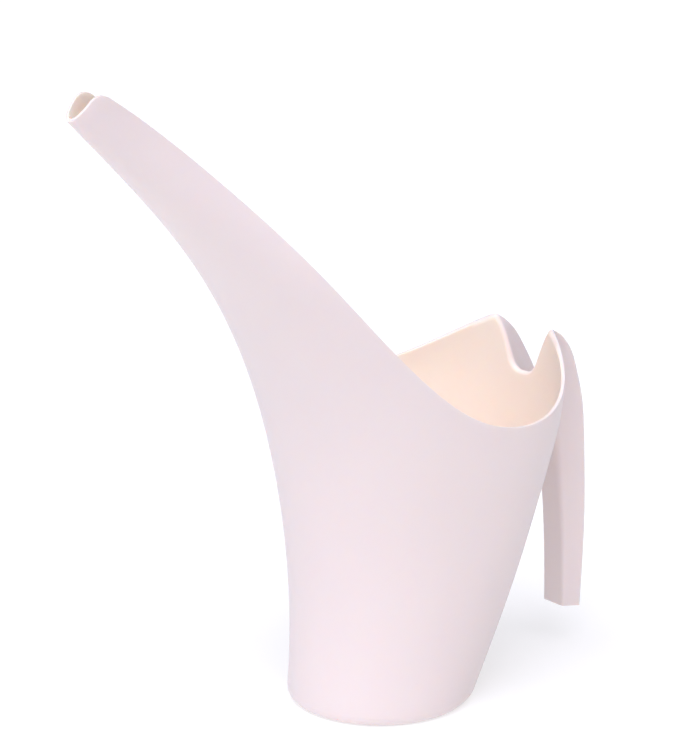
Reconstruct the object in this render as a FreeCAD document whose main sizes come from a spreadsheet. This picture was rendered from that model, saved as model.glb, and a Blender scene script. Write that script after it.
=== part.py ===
import FreeCAD, Part
import math
import os
import Sketcher
from FreeCAD import Vector

# One-piece moulded indoor watering can, in millimetres.
# Origin: centre of the round base, on the floor. +Z up, the spout points to -X.

doc = FreeCAD.newDocument("watering_can")
sheet = doc.addObject("Spreadsheet::Sheet", "Dimensions")

SIZES = {
    "wall": 1.8,
    "floor_top": 3.2,
    "floor_underside": 1.2,
    "floor_radius": 40,
    "foot_height": 10,
    "base_round": 6,
    "inner_base_round": 2.5,
    "lip_x": -186.7,
    "lip_height": 328,
    "tip_face_x": -177.3,
    "tip_face_height": 338.3,
    "tip_crown_x": -173,
    "tip_crown_height": 340,
    "ear_crown_x": 100.4,
    "ear_crown_height": 189.6,
    "spout_split_x": -75,
    "spout_split_height": 190,
    "spout_split_rise": 46,
    "saddle_front": 95,
    "saddle_bottom": 146,
    "web_split": 5.6,
    "web_half_low": 7.5,
    "web_half_high": 8.6,
    "flank_slope_low": 0.57,
    "flank_slope_high": 0.51,
    "corner_low": 1.6,
    "corner_high": 13.5,
    "handle_reach": 150,
}

# Body stations: height, reach forward, reach rearward, widest place, half width.
BODY = [
    (0, 49.7, 49.2, -0.2, 49.5),
    (60, 49.5, 77.5, 20.5, 54),
    (120, 56, 95, 33.5, 63.5),
    (180, 71, 103, 29, 74),
    (240, 103.2, 108, -33, 58),
    (300, 157.8, 112.5, -105.5, 23.2),
    (350, 207.5, 116.5, -182, 7.2),
]
# Rim seen from the side: x, height.
RIM = [(-167, 337.6), (-120, 297.6), (-80, 254), (-40, 206.5), (0, 170.2),
       (30, 159.3), (60, 161.9), (82, 172.5), (98.4, 188.4)]
# Free rear edge of the handle, from the ear down: x, height.
REAR_EDGE = [(102.8, 188.5), (112.2, 180), (119.4, 168), (126.3, 152),
             (132.6, 120), (135.9, 80), (136.3, 50), (135.8, 21.8)]
# Handle web, its face toward the body: height, x.
WEB = [(16, 127.2), (50, 126.3), (78, 124.3), (100, 121.5), (121, 117.5), (142, 111.5),
       (155.3, 104.8), (164, 98.6), (172, 92), (179, 86), (185, 78.5), (191, 67.5), (197, 54)]

OUTLINE_POINTS = 32
ROUNDING_STEPS = 4
BODY_LEVELS = [0, 20, 45, 75, 105, 135, 165, 195, 225, 255, 285, 315, 340, 350]
CHANNEL_LEVELS = [16, 40, 65, 90, 115, 135, 150, 160, 168, 176, 182, 188, 194]
EAR_LEVEL = 190
# Half width of every cutting block, more than the can's own.
BLOCK = 130
LETTERS = "abcdefghijklmnop"

row = 1


def put(alias, value):
    """Write one driving dimension into the sheet."""
    global row
    sheet.set("A%d" % row, alias)
    sheet.set("B%d" % row, str(value))
    sheet.setAlias("B%d" % row, alias)
    row += 1


def put_table(prefix, columns, table):
    """Write a table of stations, one alias per number."""
    for index, entries in enumerate(table):
        for column, value in zip(columns, entries):
            put("%s_%s_%s" % (prefix, column, LETTERS[index]), value)


def take_table(prefix, columns, count):
    """Read a table of stations back from the sheet."""
    table = []
    for index in range(count):
        letter = LETTERS[index]
        table.append([float(sheet.get("%s_%s_%s" % (prefix, column, letter))) for column in columns])
    return table


def size(alias):
    return float(sheet.get(alias))


for alias, value in SIZES.items():
    put(alias, value)
BODY_COLUMNS = ("height", "front", "rear", "middle", "half")
put_table("body", BODY_COLUMNS, BODY)
put_table("rim", ("x", "height"), RIM)
put_table("edge", ("x", "height"), REAR_EDGE)
put_table("web", ("height", "x"), WEB)
doc.recompute()


class Rule:
    """Smooth curve of one size against height."""

    def __init__(self, heights, values):
        points = [Vector(h, v, 0) for h, v in zip(heights, values)]
        self.curve = Part.BSplineCurve()
        self.curve.interpolate(Points=points, Parameters=list(heights))

    def at(self, height):
        return self.curve.value(height).y

    def slope(self, height):
        low, high = self.curve.FirstParameter, self.curve.LastParameter
        return self.curve.getDN(min(max(height, low), high), 1).y


body = take_table("body", BODY_COLUMNS, len(BODY))
heights = [entry[0] for entry in body]
front = Rule(heights, [-entry[1] for entry in body])
rear = Rule(heights, [entry[2] for entry in body])
middle = Rule(heights, [entry[3] for entry in body])
half = Rule(heights, [entry[4] for entry in body])
web_table = take_table("web", ("height", "x"), len(WEB))
web = Rule([entry[0] for entry in web_table], [entry[1] for entry in web_table])


def stretch(slope):
    """Horizontal thickness of a sheet of unit thickness that leans by this slope."""
    return (1 + slope * slope) ** 0.5


def body_section(height, inset):
    """Closed outline of the body at one height: two half ellipses joined at the widest place."""
    x_front = front.at(height) + inset * stretch(front.slope(height))
    x_rear = rear.at(height) - inset * stretch(rear.slope(height))
    x_middle = middle.at(height)
    y_half = half.at(height) - inset * stretch(half.slope(height))
    points = []
    for step in range(OUTLINE_POINTS):
        angle = 2 * math.pi * step / OUTLINE_POINTS
        reach = x_rear - x_middle if math.cos(angle) > 0 else x_middle - x_front
        points.append(Vector(x_middle + reach * math.cos(angle), y_half * math.sin(angle), height))
    curve = Part.BSplineCurve()
    curve.interpolate(Points=points, PeriodicFlag=True)
    return Part.Wire([curve.toShape()])


def body_solid(inset):
    """Solid loft through the body sections, moved inward by the inset."""
    return Part.makeLoft([body_section(level, inset) for level in BODY_LEVELS], True, False)


def rounded_bottom(low, top, inset, radius):
    """Lowest slice of the body from low to top, its bottom edge rounded by a quarter circle."""
    sections = []
    for step in range(ROUNDING_STEPS + 1):
        angle = math.pi / 2 * step / ROUNDING_STEPS
        height = low + radius * (1 - math.cos(angle))
        sections.append(body_section(height, inset + radius * (1 - math.sin(angle))))
    sections.append(body_section(top, inset))
    return Part.makeLoft(sections, True, False)


def foot():
    """Lowest slice of the moulding: rounded edge outside and inside, and the round well for the floor."""
    top = size("foot_height")
    slab = rounded_bottom(0, top, 0, size("base_round"))
    room = rounded_bottom(size("floor_top"), top + 4, size("wall"), size("inner_base_round"))
    return slab.cut(room).cut(Part.makeCylinder(size("floor_radius"), top))


def side_point(x, height):
    return Vector(x, -BLOCK, height)


def side_spline(prefix, count):
    points = [side_point(x, h) for x, h in take_table(prefix, ("x", "height"), count)]
    curve = Part.BSplineCurve()
    curve.interpolate(Points=points)
    return curve, points[0], points[-1]


def side_profile():
    """Prism that keeps what lies below the rim, behind the tip and ahead of the handle's rear edge."""
    rim, rim_start, rim_end = side_spline("rim", len(RIM))
    edge, edge_start, edge_end = side_spline("edge", len(REAR_EDGE))
    face_top = side_point(size("tip_face_x"), size("tip_face_height"))
    lip = side_point(size("lip_x"), size("lip_height"))
    outer = lip + (lip - face_top) * 3
    tip_crown = side_point(size("tip_crown_x"), size("tip_crown_height"))
    ear_crown = side_point(size("ear_crown_x"), size("ear_crown_height"))
    corners = [edge_end, side_point(105, edge_end.z), side_point(105, -5),
               side_point(outer.x, -5), outer, face_top]
    edges = [Part.Arc(face_top, tip_crown, rim_start).toShape(), rim.toShape(),
             Part.Arc(rim_end, ear_crown, edge_start).toShape(), edge.toShape()]
    for start, end in zip(corners, corners[1:]):
        edges.append(Part.makeLine(start, end))
    face = Part.Face(Part.Wire(Part.__sortEdges__(edges)))
    return face.extrude(Vector(0, 2 * BLOCK, 0))


def channel_section(height, inset):
    """Handle outline at one height: flat web toward the body, round corners, spreading flanks."""
    share = height / EAR_LEVEL
    slope = size("flank_slope_low") + share * (size("flank_slope_high") - size("flank_slope_low"))
    web_half = size("web_half_low") + share * (size("web_half_high") - size("web_half_low"))
    corner = size("corner_low") + share ** 2 * (size("corner_high") - size("corner_low")) - inset
    corner = max(corner, 0.4)
    lean = web.slope(height)
    x_web = web.at(height)
    x_front = x_web + inset * stretch(lean)
    x_back = size("handle_reach") + inset
    y_inset = inset * (1 + slope ** 2 * (1 + lean ** 2)) ** 0.5
    y_front = web_half + slope * (x_front - x_web) - y_inset
    y_back = web_half + slope * (x_back - x_web) - y_inset
    trim = corner / math.tan((math.pi / 2 + math.atan(slope)) / 2)
    flank = Vector(1, slope, 0).normalize()
    sharp = Vector(x_front, y_front, height)
    centre = Vector(x_front + corner, y_front - trim, height)
    points = [sharp - Vector(0, trim, 0), centre + (sharp - centre).normalize() * corner,
              sharp + flank * trim, Vector(x_back, y_back, height)]
    other = [Vector(p.x, -p.y, p.z) for p in points]
    edges = [Part.makeLine(other[0], points[0]), Part.Arc(*points[:3]).toShape(),
             Part.makeLine(points[2], points[3]), Part.makeLine(points[3], other[3]),
             Part.makeLine(other[3], other[2]), Part.Arc(other[2], other[1], other[0]).toShape()]
    return Part.Wire(edges)


def channel_solid(inset):
    """Solid loft of the channel, moved inward by the inset. It runs past the rear edge."""
    return Part.makeLoft([channel_section(level, inset) for level in CHANNEL_LEVELS], True, False)


def box(x0, x1, y0, y1, z0, z1):
    return Part.makeBox(x1 - x0, y1 - y0, z1 - z0, Vector(x0, y0, z0))


def spout_side():
    """Everything forward of the slanting plane where the spout leaves the body."""
    start = side_point(size("spout_split_x"), size("spout_split_height"))
    rise = math.radians(size("spout_split_rise"))
    along = Vector(math.cos(rise), 0, math.sin(rise)) * BLOCK
    across = Vector(-math.sin(rise), 0, math.cos(rise)) * BLOCK
    near, far = start - along, start + along * 2
    corners = [near, far, far + across * 2, near + across * 2]
    face = Part.Face(Part.makePolygon(corners + corners[:1]))
    return face.extrude(Vector(0, 2 * BLOCK, 0))


def tidy(shape):
    """One valid solid, with split faces joined again."""
    shape = shape.removeSplitter()
    solids = shape.Solids
    return solids[0] if len(solids) == 1 else Part.makeCompound(solids)


profile = side_profile()
outside = body_solid(0)
cavity = body_solid(size("wall"))
channel_outside = channel_solid(0)
channel_inside = channel_solid(size("wall"))

body_shell = outside.cut(cavity).cut(channel_inside)
handle_shell = channel_outside.cut(channel_inside).cut(cavity)

reach = size("handle_reach") + size("foot_height")
top = CHANNEL_LEVELS[-1] + size("foot_height")
saddle_room = box(size("saddle_front"), reach, -BLOCK, BLOCK, size("saddle_bottom"), top)
foot_room = box(-BLOCK, reach, -BLOCK, BLOCK, -1, size("foot_height"))
web_room = box(0, reach, -size("web_split"), size("web_split"), -1, size("saddle_bottom"))

foot_ring = foot()
upper_body = body_shell.cut(foot_room).common(profile)
spout_channel = upper_body.common(spout_side())
vessel_wall = upper_body.cut(spout_side()).cut(saddle_room)
joined = body_shell.fuse(handle_shell)
handle_saddle = joined.common(saddle_room).common(profile)
lower_handle = handle_shell.common(profile).cut(saddle_room)
handle_web = lower_handle.common(web_room)
flanks = lower_handle.cut(web_room)
handle_flank_left = flanks.common(box(0, reach, -BLOCK, 0, -1, top))
handle_flank_right = flanks.common(box(0, reach, 0, BLOCK, -1, top))


def add_floor():
    """Floor disc, turned about the upright axis."""
    floor = doc.addObject("PartDesign::Body", "base_floor")
    plane = [f for f in floor.Origin.OriginFeatures if f.Role == "XZ_Plane"][0]
    sketch = floor.newObject("Sketcher::SketchObject", "floor_outline")
    sketch.AttachmentSupport = [(plane, "")]
    sketch.MapMode = "FlatFace"
    low, high, radius = size("floor_underside"), size("floor_top"), size("floor_radius")
    corners = [Vector(0, low, 0), Vector(radius, low, 0), Vector(radius, high, 0), Vector(0, high, 0)]
    for start, end in zip(corners, corners[1:] + corners[:1]):
        sketch.addGeometry(Part.LineSegment(start, end), False)
    for first in range(4):
        sketch.addConstraint(Sketcher.Constraint("Coincident", first, 2, (first + 1) % 4, 1))
    for line in (0, 2):
        sketch.addConstraint(Sketcher.Constraint("Horizontal", line))
    for line in (1, 3):
        sketch.addConstraint(Sketcher.Constraint("Vertical", line))
    sketch.addConstraint(Sketcher.Constraint("PointOnObject", 0, 1, -2))
    sketch.addConstraint(Sketcher.Constraint("DistanceX", 0, 1, 0, 2, radius))
    sketch.setExpression("Constraints[9]", "Dimensions.floor_radius")
    sketch.addConstraint(Sketcher.Constraint("DistanceY", -1, 1, 0, 1, low))
    sketch.setExpression("Constraints[10]", "Dimensions.floor_underside")
    sketch.addConstraint(Sketcher.Constraint("DistanceY", -1, 1, 2, 2, high))
    sketch.setExpression("Constraints[11]", "Dimensions.floor_top")
    turn = floor.newObject("PartDesign::Revolution", "floor_disc")
    turn.Profile = sketch
    turn.ReferenceAxis = (sketch, ["V_Axis"])
    turn.Angle = 360
    floor.Tip = turn
    return floor


def add_region(name, shape):
    node = doc.addObject("Part::Feature", name)
    node.Shape = tidy(shape)
    return node


nodes = [
    add_floor(),
    add_region("foot_ring", foot_ring),
    add_region("vessel_wall", vessel_wall),
    add_region("spout_channel", spout_channel),
    add_region("handle_saddle", handle_saddle),
    add_region("handle_web", handle_web),
    add_region("handle_flank_left", handle_flank_left),
    add_region("handle_flank_right", handle_flank_right),
]
doc.recompute()

os.makedirs("parts", exist_ok=True)
for node in nodes:
    node.Label = node.Name
    if "Invalid" in node.State or "Error" in node.State:
        raise RuntimeError(node.Name + " has an error")
    if node.Shape.isNull() or not node.Shape.isValid():
        raise RuntimeError(node.Name + " has no valid shape")
    node.Shape.exportStep("parts/" + node.Name + ".step")
    room = node.Shape.BoundBox
    print("%-20s %8.1f mm3  solids %d  x %.1f..%.1f y %.1f..%.1f z %.1f..%.1f" % (
        node.Name, node.Shape.Volume, len(node.Shape.Solids), room.XMin, room.XMax,
        room.YMin, room.YMax, room.ZMin, room.ZMax))
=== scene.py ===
import math

import bpy
import numpy as np
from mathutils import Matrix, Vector


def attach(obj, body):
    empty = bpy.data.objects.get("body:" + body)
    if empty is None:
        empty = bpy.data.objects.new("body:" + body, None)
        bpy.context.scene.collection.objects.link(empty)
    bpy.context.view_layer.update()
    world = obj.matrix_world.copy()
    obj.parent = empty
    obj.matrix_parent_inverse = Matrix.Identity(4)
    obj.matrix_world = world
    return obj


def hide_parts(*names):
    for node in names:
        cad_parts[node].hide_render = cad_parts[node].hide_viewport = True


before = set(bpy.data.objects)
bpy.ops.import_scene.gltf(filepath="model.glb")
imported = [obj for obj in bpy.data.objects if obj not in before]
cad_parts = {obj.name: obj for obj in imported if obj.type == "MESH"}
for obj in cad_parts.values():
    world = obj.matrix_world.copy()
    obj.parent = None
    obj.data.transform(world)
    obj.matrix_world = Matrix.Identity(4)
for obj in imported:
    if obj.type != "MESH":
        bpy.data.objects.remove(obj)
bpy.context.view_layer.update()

# One-piece moulded indoor watering can, in metres.
# Origin: centre of the round base, on the floor. +Z up, the spout points to -X.

MM = 0.001

# Sheet of plastic.
WALL = 1.8 * MM
FOLD_ROUND = 2.3 * MM
EDGE_ROUND = 0.55 * MM

# Base.
FLOOR_TOP = 3.2 * MM
FLOOR_UNDERSIDE = 1.2 * MM
RECESS_RADIUS = 40 * MM
FOOT_ROUND = 6 * MM
CORNER_ROUND = 2.5 * MM
FOOT_HEIGHT = 10 * MM

# Body stations in mm: height, reach forward, reach rearward, widest place, half width.
BODY = [
    (0, -49.7, 49.2, -0.2, 49.5),
    (60, -49.5, 77.5, 20.5, 54),
    (120, -56, 95, 33.5, 63.5),
    (180, -71, 103, 29, 74),
    (240, -103.2, 108, -33, 58),
    (300, -157.8, 112.5, -105.5, 23.2),
    (350, -207.5, 116.5, -182, 7.2),
]
# Side view in mm, x and height: slanting end of the spout and its crown, the rim, the ear,
# and the handle's rear edge.
SPOUT_END = [(-186.7, 328), (-177.3, 338.3)]
SPOUT_CROWN = [(-177.3, 338.3), (-173, 340), (-167, 337.6)]
RIM = [(-167, 337.6), (-120, 297.6), (-80, 254), (-40, 206.5), (0, 170.2),
       (30, 159.3), (60, 161.9), (82, 172.5), (98.4, 188.4)]
EAR_CROWN = [(98.4, 188.4), (100.4, 189.6), (102.8, 188.5)]
REAR_EDGE = [(102.8, 188.5), (112.2, 180), (119.4, 168), (126.3, 152),
             (132.6, 120), (135.9, 80), (136.3, 50), (135.8, 21.8)]
# Handle web in mm, its face toward the body: height, x.
WEB = [(16, 127.2), (50, 126.3), (78, 124.3), (100, 121.5), (121, 117.5), (142, 111.5),
       (155.3, 104.8), (164, 98.6), (172, 92), (179, 86), (185, 78.5), (191, 67.5), (197, 54)]
# Handle section, from the floor to the height of the ears.
EAR_HEIGHT = 190 * MM
WEB_HALF = (7.5 * MM, 8.6 * MM)
FLANK_SLOPE = (0.57, 0.51)
WEB_CORNER = (1.6 * MM, 13.5 * MM)

# How finely the sheet is divided.
FOLD_COLUMNS = 30
RIM_COLUMNS = 150
WALL_ROWS = 84
FOLD_ROWS = 9
HANDLE_ROWS = 56
# Share of the columns, and the angle at the base by which that share is used up.
BASE_SPREAD = ((0, 0.17, 0.6, 1), (0, 26, 132, 180))
COLUMN_SWEEP = 2.2

# Plastic: colour outside, and painted light inside (a brighter, warmer tone standing in for light
# bounced around inside the can and passed through its wall), each with the tone it drifts toward.
OUTSIDE = (0.79, 0.705, 0.685)
OUTSIDE_DRIFT = (0.77, 0.685, 0.67)
# Painted light: the inside tones are the same plastic made brighter and warmer where the water is held.
INSIDE_PAINTED_LIGHT = (0.96, 0.83, 0.73)
INSIDE_PAINTED_LIGHT_DRIFT = (0.94, 0.81, 0.71)
PLASTIC_ROUGHNESS = 0.4
GRAIN_SCALE = 2200
GRAIN_DEPTH = 0.1 * MM
GRAIN_STRENGTH = 0.35
# What is the same all over: light passes a short way into the wall, and the skin has a weak cool sheen.
PLASTIC_BODY = {
    "IOR": 1.49,
    "Subsurface Weight": 0.8,
    "Subsurface Radius": (1.0, 0.8, 0.6),
    "Subsurface Scale": 1.6 * MM,
    "Sheen Weight": 0.12,
    "Sheen Roughness": 0.35,
    "Sheen Tint": (0.86, 0.84, 1.0, 1),
}

# Studio: tints and strengths of the light, and where it comes from.
LIGHT_TINT = (0.94, 0.93, 1.0)
BRIGHT_SIDE = (-0.75, -0.18, 0.64)
BRIGHT_AIR = (0.72, 0.74, 0.88)
DIM_FROM = -0.25
DIM_AIR = (0.02, 0.01, 0.0)
BROAD_LIGHT = 2.75
BROAD_SPREAD = math.radians(65)
BROAD_WAY = (0.38, 0.33, -1.0)
TABLE_GLOW = 0.52
TABLE_SIZE = 8


class Curve:
    """Smooth curve of one size against another, through its stations."""

    def __init__(self, places, values):
        self.places = np.array(places, float) * MM
        self.values = np.array(values, float) * MM
        gaps = np.diff(self.places)
        count = len(gaps) + 1
        links = np.eye(count)
        pulls = np.zeros(count)
        for i in range(1, count - 1):
            before, after = gaps[i - 1], gaps[i]
            links[i, i - 1:i + 2] = 1 / before, 2 / before + 2 / after, 1 / after
            pulls[i] = 3 * ((self.values[i] - self.values[i - 1]) / before ** 2
                            + (self.values[i + 1] - self.values[i]) / after ** 2)
        for end, near in ((0, slice(0, 4)), (-1, slice(-4, None))):
            cubic = np.polyfit(self.places[near], self.values[near], 3)
            pulls[end] = np.polyval(np.polyder(cubic), self.places[end])
        self.slopes = np.linalg.solve(links, pulls)

    def at(self, place):
        i = min(max(int(np.searchsorted(self.places, place)) - 1, 0), len(self.places) - 2)
        gap = self.places[i + 1] - self.places[i]
        t = (place - self.places[i]) / gap
        return float((1 + 2 * t) * (1 - t) ** 2 * self.values[i]
                     + t * (1 - t) ** 2 * gap * self.slopes[i]
                     + t * t * (3 - 2 * t) * self.values[i + 1]
                     + t * t * (t - 1) * gap * self.slopes[i + 1])

    def slope(self, place):
        step = 0.5 * MM
        return (self.at(place + step) - self.at(place - step)) / (2 * step)


def column(table, index):
    return [entry[index] for entry in table]


front, rear, middle, half = (Curve(column(BODY, 0), column(BODY, i)) for i in (1, 2, 3, 4))
web = Curve(column(WEB, 0), column(WEB, 1))
rim = Curve(column(RIM, 0), column(RIM, 1))
edge_by_height = Curve(column(REAR_EDGE[::-1], 1), column(REAR_EDGE[::-1], 0))
edge_by_x = Curve(column(REAR_EDGE[:4], 0), column(REAR_EDGE[:4], 1))


def crown(points, x):
    """Height on the rounded crown that passes through three points."""
    bend = np.polyfit(column(points, 0), column(points, 1), 2)
    return float(np.polyval(bend, x / MM)) * MM


def top_height(x):
    """Height of the free edge seen from the side."""
    if x < SPOUT_CROWN[0][0] * MM:
        low, high = SPOUT_END
        return (low[1] + (x / MM - low[0]) * (high[1] - low[1]) / (high[0] - low[0])) * MM
    if x < RIM[0][0] * MM:
        return crown(SPOUT_CROWN, x)
    if x < RIM[-1][0] * MM:
        return rim.at(x)
    if x < REAR_EDGE[0][0] * MM:
        return crown(EAR_CROWN, x)
    return edge_by_x.at(x)


def lean(slope):
    """Horizontal thickness of a sheet of unit thickness with this slope."""
    return math.sqrt(1 + slope * slope)


def body_spans(height, inset):
    """Front reach, rear reach, widest place and half width of the body at one height."""
    near = min(max(height, 0.5 * MM), 349.5 * MM)
    return (front.at(height) + inset * lean(front.slope(near)),
            rear.at(height) - inset * lean(rear.slope(near)),
            middle.at(height),
            half.at(height) - inset * lean(half.slope(near)))


def on_body(angle, height, inset):
    """Point of the body wall. Angle 0 is the rear, pi the front."""
    x_front, x_rear, x_middle, y_half = body_spans(height, inset)
    reach = x_rear - x_middle if math.cos(angle) > 0 else x_middle - x_front
    return Vector((x_middle + reach * math.cos(angle), y_half * math.sin(angle), height))


def body_angle(point, inset):
    """Angle of the body wall point nearest to a point at its height."""
    x_front, x_rear, x_middle, y_half = body_spans(point.z, inset)
    reach = x_rear - x_middle if point.x > x_middle else x_middle - x_front
    return math.atan2(point.y / y_half, (point.x - x_middle) / reach)


def body_excess(point, inset):
    """Negative inside the body, positive outside."""
    x_front, x_rear, x_middle, y_half = body_spans(point.z, inset)
    reach = x_rear - x_middle if point.x > x_middle else x_middle - x_front
    return ((point.x - x_middle) / reach) ** 2 + (point.y / y_half) ** 2 - 1


def edge_reach(height):
    """How far rearward the handle's free edge lies at one height."""
    if height <= REAR_EDGE[0][1] * MM:
        return edge_by_height.at(height)
    return REAR_EDGE[0][0] * MM - (height - REAR_EDGE[0][1] * MM)


def on_handle(share, height, inset):
    """Point of the handle sheet.

    Share runs from 0 to 1 over the web, to 2 over the round corner and to 3 at the free edge.
    """
    rise = height / EAR_HEIGHT
    slope = FLANK_SLOPE[0] + rise * (FLANK_SLOPE[1] - FLANK_SLOPE[0])
    web_half = WEB_HALF[0] + rise * (WEB_HALF[1] - WEB_HALF[0])
    corner = max(WEB_CORNER[0] + rise ** 2 * (WEB_CORNER[1] - WEB_CORNER[0]) - inset, 0.4 * MM)
    tilt = web.slope(min(max(height, 17 * MM), 193 * MM))
    x_web = web.at(height)
    x_front = x_web + inset * lean(tilt)
    y_inset = inset * math.sqrt(1 + slope ** 2 * (1 + tilt ** 2))
    y_front = web_half + slope * (x_front - x_web) - y_inset
    turn = math.pi / 2 - math.atan(slope)
    trim = corner * math.tan(turn / 2)
    if share <= 1:
        return Vector((x_front, (y_front - trim) * share, height))
    if share <= 2:
        swing = turn * (share - 1)
        return Vector((x_front + corner * (1 - math.cos(swing)),
                       y_front - trim + corner * math.sin(swing), height))
    x_start = x_front + corner * (1 - math.cos(turn))
    x = x_start + (edge_reach(height) - x_start) * (share - 2)
    return Vector((x, y_front + slope * (x - x_front), height))


def handle_share(point, inset):
    """Share of the handle sheet point nearest to a point at its height."""
    low, high = 0.0, 3.2
    for _ in range(4):
        tries = np.linspace(low, high, 17)
        gaps = [(on_handle(share, point.z, inset) - point).length for share in tries]
        best, step = tries[int(np.argmin(gaps))], tries[1] - tries[0]
        low, high = max(best - step, 0.0), best + step
    return float(best)


def facing(place, share, height, inset):
    """Unit normal of a sheet. It points rearward on the rear wall and on the handle web."""
    step = 0.2 * MM
    across = place(share + 0.01, height, inset) - place(share - 0.01, height, inset)
    up = place(share, height + step, inset) - place(share, height - step, inset)
    return across.cross(up).normalized()


def even_steps(points, count, crowding=None):
    """Picks count + 1 places evenly along a chain of points."""
    lengths = np.array([(b - a).length for a, b in zip(points, points[1:])])
    if crowding:
        lengths *= [crowding((a + b) / 2) for a, b in zip(points, points[1:])]
    run = np.concatenate([[0.0], np.cumsum(lengths)])
    return np.interp(np.linspace(0, run[-1], count + 1), run, np.arange(len(points)))


def bisect(excess, low, high):
    """Place between low and high where excess changes sign."""
    start = excess(low) > 0
    for _ in range(40):
        centre = (low + high) / 2
        if (excess(centre) > 0) == start:
            low = centre
        else:
            high = centre
    return (low + high) / 2


def fold_point(height, inset):
    """Where the body wall and the handle sheet meet at one height."""
    share = bisect(lambda s: body_excess(on_handle(s, height, inset), inset), 0.0, 3.0)
    return on_handle(share, height, inset)


def fold_line(inset):
    """Sharp line of the fold, from the bottom of the notch to the ear."""
    bottom = bisect(lambda z: body_excess(on_handle(0.0, z, inset), inset), 150 * MM, 185 * MM)
    top = bisect(lambda z: z - top_height(fold_point(z, inset).x), 180 * MM, 193 * MM)
    heights = [bottom + (top - bottom) * (i / 200) ** 2 for i in range(201)]
    points = [on_handle(0.0, bottom, inset)]
    points += [fold_point(height, inset) for height in heights[1:]]
    places = even_steps(points, FOLD_COLUMNS)
    return [fold_point(float(np.interp(p, range(201), heights)), inset) if p > 0 else points[0]
            for p in places]


def to_body(point, inset):
    return on_body(body_angle(point, inset), point.z, inset)


def to_handle(point, inset):
    return on_handle(handle_share(point, inset), point.z, inset)


def along_edge(point, direction):
    """Unit step along the free edge from a point, keeping to a sheet's direction."""
    step = 0.5 * MM
    level = Vector((direction.x, direction.y, 0)).normalized() * step
    rise = top_height(point.x + level.x) - top_height(point.x)
    return (level + Vector((0, 0, rise))).normalized()


def fold_section(index, point, inset, rounding):
    """Rounded fold at one place of its line: points from the body wall over to the handle sheet."""
    wall = facing(on_body, body_angle(point, inset), point.z, inset)
    sheet = -facing(on_handle, handle_share(point, inset), point.z, inset)
    to_wall = (sheet - wall * sheet.dot(wall)).normalized()
    to_sheet = (wall - sheet * wall.dot(sheet)).normalized()
    opening = math.acos(to_wall.dot(to_sheet))
    reach = rounding / math.tan(opening / 2)
    pull = rounding * 4 / 3 * math.tan((math.pi - opening) / 4)
    blend = max(0.0, index / FOLD_COLUMNS * 2 - 1) ** 2
    wall_way = to_wall.lerp(along_edge(point, to_wall), blend).normalized()
    sheet_way = to_sheet.lerp(along_edge(point, to_sheet), blend).normalized()
    wall_scale = 1 / wall_way.dot(to_wall)
    sheet_scale = 1 / sheet_way.dot(to_sheet)
    start = to_body(point + wall_way * reach * wall_scale, inset)
    end = to_handle(point + sheet_way * reach * sheet_scale, inset)
    pulls = [start, start - wall_way * pull * wall_scale, end - sheet_way * pull * sheet_scale, end]
    points = []
    for i in range(FOLD_ROWS + 1):
        t = i / FOLD_ROWS
        shares = ((1 - t) ** 3, 3 * t * (1 - t) ** 2, 3 * t * t * (1 - t), t ** 3)
        points.append(sum((p * s for p, s in zip(pulls, shares)), Vector()))
    if index == FOLD_COLUMNS:
        for p in points:
            p.z = top_height(p.x)
    return points


def mirrored(points):
    """Points of one half, added to the other half: from the far side over the middle."""
    return [Vector((p.x, -p.y, p.z)) for p in points[:0:-1]] + points


def rim_points(start_x, inset):
    """Free edge from the ear along the rim to the keel of the spout."""
    keel = bisect(lambda x: on_body(math.pi, top_height(x), inset).x - x, -187 * MM, -150 * MM)
    xs = [keel + (start_x - keel) * (1 - i / 1200) ** 2 for i in range(1201)]

    def place(x):
        height = top_height(x)
        x_front, x_rear, x_middle = body_spans(height, inset)[:3]
        reach = x_rear - x_middle if x > x_middle else x_middle - x_front
        turn = math.acos(min(max((x - x_middle) / reach, -1.0), 1.0))
        return on_body(turn, height, inset)

    def crowding(point):
        return 2.2 if point.x < -160 * MM or point.x > 90 * MM else 1.0

    places = even_steps([place(x) for x in xs], RIM_COLUMNS, crowding)
    points = [place(float(np.interp(p, range(1201), xs))) for p in places]
    points[-1] = on_body(math.pi, top_height(keel), inset)
    return points


def base_rings(inset):
    """Rings of the base as (height, inset, share of full size), from the centre outward."""
    if inset:
        low, rounding, flat = FLOOR_TOP, CORNER_ROUND, [0.0, 0.2, 0.45, 0.7, 0.86]
        rings = [(low, inset + rounding, share) for share in flat]
    else:
        low, rounding = 0.0, FOOT_ROUND
        recess = RECESS_RADIUS / (half.at(0) - rounding)
        flat = [0.0, 0.2, 0.45, 0.7, 0.9, 1.0]
        rings = [(FLOOR_UNDERSIDE, rounding, share * recess) for share in flat]
        rings.append((low, rounding, recess))
    for i in range(6):
        swing = math.pi / 2 * i / 5
        height = low + rounding * (1 - math.cos(swing))
        rings.append((height, inset + rounding * (1 - math.sin(swing)), 1.0))
    return rings


def body_rows(tops, inset):
    """Rows of the body, from the centre of the base up to the given upper ends of its columns."""
    count = len(tops) - 1
    low_angles = np.radians(np.interp(np.arange(count + 1) / count, *BASE_SPREAD))
    high_angles = [body_angle(p, inset) for p in tops]
    rows = []
    for height, ring_inset, share in base_rings(inset):
        ring = [on_body(a, height, ring_inset) for a in low_angles]
        rows.append([Vector((p.x * share, p.y * share, p.z)) for p in ring])
    for step in range(1, WALL_ROWS + 1):
        t = step / WALL_ROWS
        row = []
        for low, high, top in zip(low_angles, high_angles, tops):
            height = FOOT_HEIGHT + (top.z - FOOT_HEIGHT) * t
            row.append(on_body(low + (high - low) * t ** COLUMN_SWEEP, height, inset))
        rows.append(row)
    rows[-1] = tops
    return rows


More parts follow.
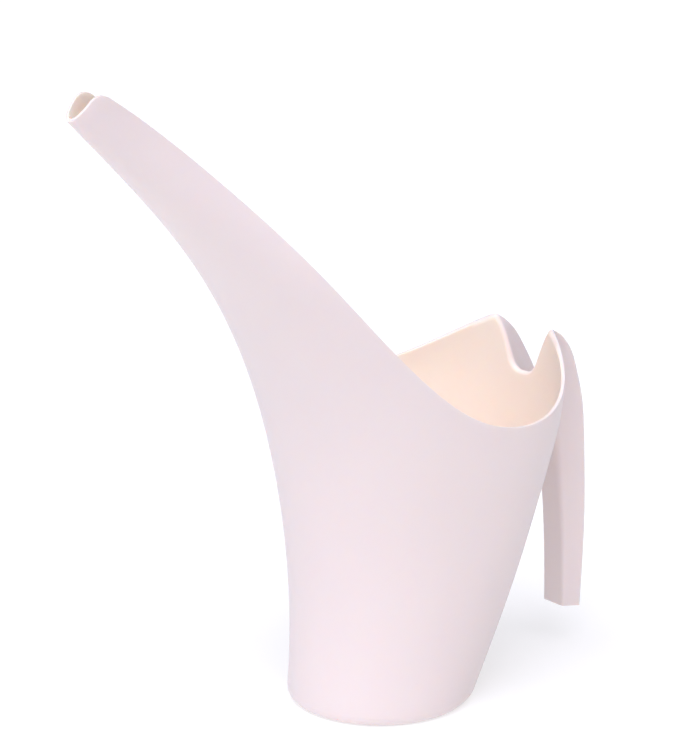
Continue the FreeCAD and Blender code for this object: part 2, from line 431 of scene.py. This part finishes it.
def handle_rows(starts, inset):
    """Rows of the handle sheet, from the fold down to the cut end."""
    bottom = REAR_EDGE[-1][1] * MM
    count = len(starts) - 1
    first = [handle_share(p, inset) for p in starts]
    first[-1] = 3.0
    last = [3.0 * i / count for i in range(count + 1)]
    rows = []
    for step in range(1, HANDLE_ROWS + 1):
        t = step / HANDLE_ROWS
        rows.append([on_handle(a + (b - a) * t, p.z + (bottom - p.z) * t, inset)
                     for a, b, p in zip(first, last, starts)])
    return rows


def lay_sheet(name, rows, marks):
    """Grid laid on rows of points. A point's mark is 1 where the can holds water, 0 on the outside; it
    is the share of the painted light of the inside tone there.
    """
    bpy.ops.mesh.primitive_grid_add(x_subdivisions=len(rows[0]) - 1, y_subdivisions=len(rows) - 1)
    sheet = bpy.context.object
    sheet.name = name
    for vertex, point in zip(sheet.data.vertices, [p for row in rows for p in row]):
        vertex.co = point
    inside = sheet.data.attributes.new("inside", "FLOAT", "POINT")
    inside.data.foreach_set("value", [mark for row in marks for mark in row])
    return sheet


def moulded_face(name, inset, rounding, inside):
    """One face of the moulding: base and body, over the fold, down the handle."""
    sections = [fold_section(i, p, inset, rounding) for i, p in enumerate(fold_line(inset))]
    fold_tops = [section[0] for section in sections]
    tops = fold_tops + rim_points(fold_tops[-1].x, inset)[1:]
    body_sheet = [mirrored(row) for row in body_rows(tops, inset)]
    body = lay_sheet(name + "_body", body_sheet, [[inside] * len(row) for row in body_sheet])
    lower = handle_rows([section[-1] for section in sections], inset)
    # Painted light: the inside's brighter, warmer tone fades out over the fold rows, and the handle
    # below gets none.
    painted_light_fade = [inside * (1 - i / FOLD_ROWS) for i in range(FOLD_ROWS + 1)]
    handle_sheet = [mirrored(list(row)) for row in list(zip(*sections)) + lower]
    handle_painted_light = [[mark] * len(handle_sheet[0]) for mark in painted_light_fade + [0.0] * len(lower)]
    handle = lay_sheet(name + "_handle", handle_sheet, handle_painted_light)
    cut_end = lower[-1][:-1] + [row[-1] for row in reversed(lower)]
    rim_run = tops[FOLD_COLUMNS + 1:]
    edge = cut_end + sections[-1][::-1] + rim_run
    marks = [0.0] * len(cut_end) + painted_light_fade[::-1] + [inside] * len(rim_run)
    return [body, handle], mirrored(edge), marks[:0:-1] + marks


def moulding():
    """The whole can: inner and outer face joined along the free edge, which is then rounded."""
    bpy.ops.object.select_all(action="DESELECT")
    # The inner face carries the full painted light of the inside tone, the outer face none.
    inner, inner_edge, inner_painted_light = moulded_face("inner", WALL, FOLD_ROUND, 1.0)
    outer, outer_edge, outer_painted_light = moulded_face("outer", 0.0, FOLD_ROUND - WALL, 0.0)
    free_edge = lay_sheet("free_edge", [inner_edge, outer_edge], [inner_painted_light, outer_painted_light])
    sheets = inner + outer + [free_edge]
    for sheet in sheets:
        sheet.select_set(True)
    can = sheets[0]
    bpy.context.view_layer.objects.active = can
    bpy.ops.object.join()
    can.name = "can_moulding"
    can.data.name = "can_moulding"
    bpy.ops.object.mode_set(mode="EDIT")
    bpy.ops.mesh.select_mode(type="EDGE")
    bpy.ops.mesh.select_all(action="SELECT")
    bpy.ops.mesh.remove_doubles(threshold=0.004 * MM)
    bpy.ops.mesh.normals_make_consistent(inside=False)
    bpy.ops.object.mode_set(mode="OBJECT")
    rounding = can.modifiers.new("edge_round", "BEVEL")
    rounding.width = EDGE_ROUND
    rounding.segments = 3
    rounding.limit_method = "ANGLE"
    rounding.angle_limit = math.radians(50)
    bpy.ops.object.modifier_apply(modifier=rounding.name)
    bpy.ops.object.shade_smooth()
    return can


def nodes_of(material):
    """Node tree of a fresh material, with its shader."""
    material.use_nodes = True
    return material.node_tree, material.node_tree.nodes["Principled BSDF"]


def add(tree, kind, **inputs):
    """Adds a node and sets its inputs by name."""
    node = tree.nodes.new(kind)
    for name, value in inputs.items():
        node.inputs[name.title()].default_value = value
    return node


def moulded_grain():
    """Node group: the fine spark grain, flow marks and slight colour drift of a moulded plastic."""
    group = bpy.data.node_groups.new("moulded_grain", "ShaderNodeTree")
    for name, kind in (("Colour", "NodeSocketColor"), ("Drift Colour", "NodeSocketColor"),
                       ("Roughness", "NodeSocketFloat"), ("Grain Scale", "NodeSocketFloat")):
        group.interface.new_socket(name, in_out="INPUT", socket_type=kind)
    for name, kind in (("Colour", "NodeSocketColor"), ("Roughness", "NodeSocketFloat"),
                       ("Height", "NodeSocketFloat")):
        group.interface.new_socket(name, in_out="OUTPUT", socket_type=kind)
    entry = group.nodes.new("NodeGroupInput")
    leave = group.nodes.new("NodeGroupOutput")
    place = group.nodes.new("ShaderNodeTexCoord")
    join = group.links.new

    grain = add(group, "ShaderNodeTexNoise", detail=3.0, roughness=0.6)
    join(place.outputs["Object"], grain.inputs["Vector"])
    join(entry.outputs["Grain Scale"], grain.inputs["Scale"])
    drift = add(group, "ShaderNodeTexNoise", scale=9.0, detail=2.0)
    join(place.outputs["Object"], drift.inputs["Vector"])
    stretch = group.nodes.new("ShaderNodeMapping")
    stretch.inputs["Scale"].default_value = (60, 60, 6)
    join(place.outputs["Object"], stretch.inputs["Vector"])
    flow = add(group, "ShaderNodeTexNoise", scale=1.0, detail=2.0)
    join(stretch.outputs["Vector"], flow.inputs["Vector"])

    drift_share = add(group, "ShaderNodeMapRange")
    for name, value in (("From Min", 0.3), ("From Max", 0.7), ("To Min", 0.0), ("To Max", 1.0)):
        drift_share.inputs[name].default_value = value
    join(drift.outputs["Fac"], drift_share.inputs["Value"])
    colour = group.nodes.new("ShaderNodeMix")
    colour.data_type = "RGBA"
    join(drift_share.outputs["Result"], colour.inputs["Factor"])
    join(entry.outputs["Colour"], colour.inputs[6])
    join(entry.outputs["Drift Colour"], colour.inputs[7])
    join(colour.outputs[2], leave.inputs["Colour"])

    marks = group.nodes.new("ShaderNodeMath")
    marks.operation = "MULTIPLY_ADD"
    marks.inputs[1].default_value = 0.7
    join(grain.outputs["Fac"], marks.inputs[0])
    join(flow.outputs["Fac"], marks.inputs[2])
    rough = group.nodes.new("ShaderNodeMath")
    rough.operation = "MULTIPLY_ADD"
    rough.inputs[1].default_value = 0.16
    join(marks.outputs["Value"], rough.inputs[0])
    join(entry.outputs["Roughness"], rough.inputs[2])
    join(rough.outputs["Value"], leave.inputs["Roughness"])

    height = group.nodes.new("ShaderNodeMath")
    height.operation = "MULTIPLY_ADD"
    height.inputs[1].default_value = 0.6
    join(flow.outputs["Fac"], height.inputs[0])
    join(grain.outputs["Fac"], height.inputs[2])
    join(height.outputs["Value"], leave.inputs["Height"])
    return group


def pale_plastic():
    """Satin polypropylene, pale rose, with painted light where the water is held: a brighter, warmer
    tone standing in for light bounced around inside and passed through the wall.
    """
    material = bpy.data.materials.new("can_plastic")
    tree, shader = nodes_of(material)
    # The inside mark blends from the plastic's colour to its painted light, a brighter and warmer copy
    # of it.
    inside = tree.nodes.new("ShaderNodeAttribute")
    inside.attribute_name = "inside"
    tones = []
    for outer, inner in ((OUTSIDE, INSIDE_PAINTED_LIGHT), (OUTSIDE_DRIFT, INSIDE_PAINTED_LIGHT_DRIFT)):
        tone = tree.nodes.new("ShaderNodeMix")
        tone.data_type = "RGBA"
        tone.inputs[6].default_value = (*outer, 1)
        tone.inputs[7].default_value = (*inner, 1)
        tree.links.new(inside.outputs["Fac"], tone.inputs["Factor"])
        tones.append(tone.outputs[2])
    finish = tree.nodes.new("ShaderNodeGroup")
    finish.node_tree = moulded_grain()
    finish.inputs["Roughness"].default_value = PLASTIC_ROUGHNESS
    finish.inputs["Grain Scale"].default_value = GRAIN_SCALE
    tree.links.new(tones[0], finish.inputs["Colour"])
    tree.links.new(tones[1], finish.inputs["Drift Colour"])
    bump = tree.nodes.new("ShaderNodeBump")
    bump.inputs["Strength"].default_value = GRAIN_STRENGTH
    bump.inputs["Distance"].default_value = GRAIN_DEPTH
    tree.links.new(finish.outputs["Height"], bump.inputs["Height"])
    tree.links.new(finish.outputs["Colour"], shader.inputs["Base Color"])
    tree.links.new(finish.outputs["Roughness"], shader.inputs["Roughness"])
    tree.links.new(bump.outputs["Normal"], shader.inputs["Normal"])
    for name, value in PLASTIC_BODY.items():
        shader.inputs[name].default_value = value
    return material


def table_top():
    """Lit white table."""
    material = bpy.data.materials.new("studio_floor")
    shader = nodes_of(material)[1]
    shader.inputs["Base Color"].default_value = (0.52, 0.52, 0.52, 1)
    shader.inputs["Roughness"].default_value = 0.9
    shader.inputs["Specular IOR Level"].default_value = 0.1
    shader.inputs["Emission Color"].default_value = (1, 1, 1, 1)
    shader.inputs["Emission Strength"].default_value = TABLE_GLOW
    return material


def air_light():
    """Light of the room: bright and cool from the upper left front, dim and warm from the far right."""
    world = bpy.data.worlds.new("studio_air")
    world.use_nodes = True
    tree = world.node_tree
    way = tree.nodes.new("ShaderNodeTexCoord")
    toward = tree.nodes.new("ShaderNodeVectorMath")
    toward.operation = "DOT_PRODUCT"
    toward.inputs[1].default_value = Vector(BRIGHT_SIDE).normalized()
    tree.links.new(way.outputs["Generated"], toward.inputs[0])
    share = tree.nodes.new("ShaderNodeMapRange")
    share.inputs["From Min"].default_value = DIM_FROM
    tree.links.new(toward.outputs["Value"], share.inputs["Value"])
    tint = tree.nodes.new("ShaderNodeMix")
    tint.data_type = "RGBA"
    tint.inputs[6].default_value = (*DIM_AIR, 1)
    tint.inputs[7].default_value = (*BRIGHT_AIR, 1)
    tree.links.new(share.outputs["Result"], tint.inputs["Factor"])
    tree.links.new(tint.outputs[2], tree.nodes["Background"].inputs["Color"])
    return world


def studio():
    """White table, the air light and one broad light from above and to the left."""
    bpy.ops.mesh.primitive_plane_add(size=TABLE_SIZE)
    floor = bpy.context.object
    floor.name = "studio_floor"
    floor.data.materials.append(table_top())
    bpy.context.scene.world = air_light()
    bpy.context.scene.view_settings.view_transform = "Standard"
    bpy.ops.object.light_add(type="SUN", location=(-1, -1, 2))
    broad = bpy.context.object
    broad.name = "broad_light"
    broad.data.energy = BROAD_LIGHT
    broad.data.angle = BROAD_SPREAD
    broad.data.color = LIGHT_TINT
    broad.rotation_euler = Vector(BROAD_WAY).to_track_quat("-Z", "Y").to_euler()


def camera():
    """Camera to the left of the side view, a little above, looking slightly down."""
    aim = Vector((0.0104, 0.0493, 0.1660))
    turn, down, distance = math.radians(38.5), math.radians(15.2), 1.3426
    forward = Vector((math.sin(turn) * math.cos(down), math.cos(turn) * math.cos(down), -math.sin(down)))
    bpy.ops.object.camera_add(location=aim - forward * distance)
    eye = bpy.context.object
    eye.rotation_euler = forward.to_track_quat("-Z", "Y").to_euler()
    eye.data.lens = 121
    eye.data.sensor_width = 36
    bpy.context.scene.camera = eye


bpy.ops.object.select_all(action="DESELECT")
camera()
can = moulding()
can.data.materials.clear()
can.data.materials.append(pale_plastic())
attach(can, "root")
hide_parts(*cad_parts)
studio()
